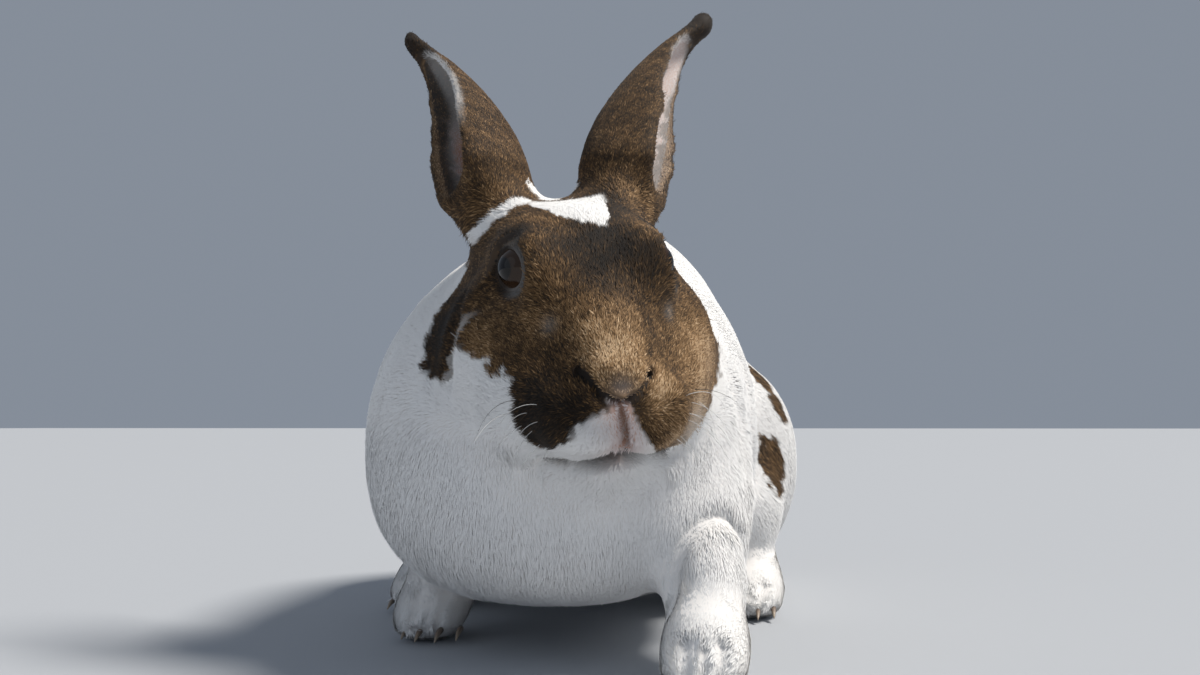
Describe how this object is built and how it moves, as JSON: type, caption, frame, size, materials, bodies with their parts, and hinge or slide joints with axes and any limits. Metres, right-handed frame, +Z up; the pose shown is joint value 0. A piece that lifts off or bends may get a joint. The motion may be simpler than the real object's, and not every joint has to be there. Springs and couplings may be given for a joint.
{
  "type": "rabbit",
  "caption": "Still, life-size model of a large short-coated rabbit, white with a brown mask and ears, standing with one forefoot a step ahead.",
  "frame": {"origin": "middle of the bounding box in x and y, on the floor under the feet", "axes": "+Z up; the body runs along Y and faces -Y; the rabbit's left side is at +X"},
  "size_m": [0.1964, 0.369, 0.2702],
  "materials": {
    "white_coat": "short, dense, upright plush fur, warm white",
    "brown_coat": "short, dense agouti fur, dark at the root and ticked with gold",
    "eye": "wet, very dark brown eye",
    "claw": "pale horn",
    "whisker": "pale stiff hair"
  },
  "bodies": {
    "root": {"dewlap": "white_coat", "ear_left": "brown_coat", "ear_right": "brown_coat", "eye_left": "eye", "eye_right": "eye", "foreleg_left": "white_coat", "foreleg_right": "white_coat", "forepaw_left": "white_coat", "forepaw_right": "white_coat", "head": "brown_coat", "hindfoot_left": "white_coat", "hindfoot_right": "white_coat", "neck": "white_coat", "tail": "white_coat", "thigh_left": "white_coat", "thigh_right": "white_coat", "trunk": "white_coat"}
  },
  "joints": []
}
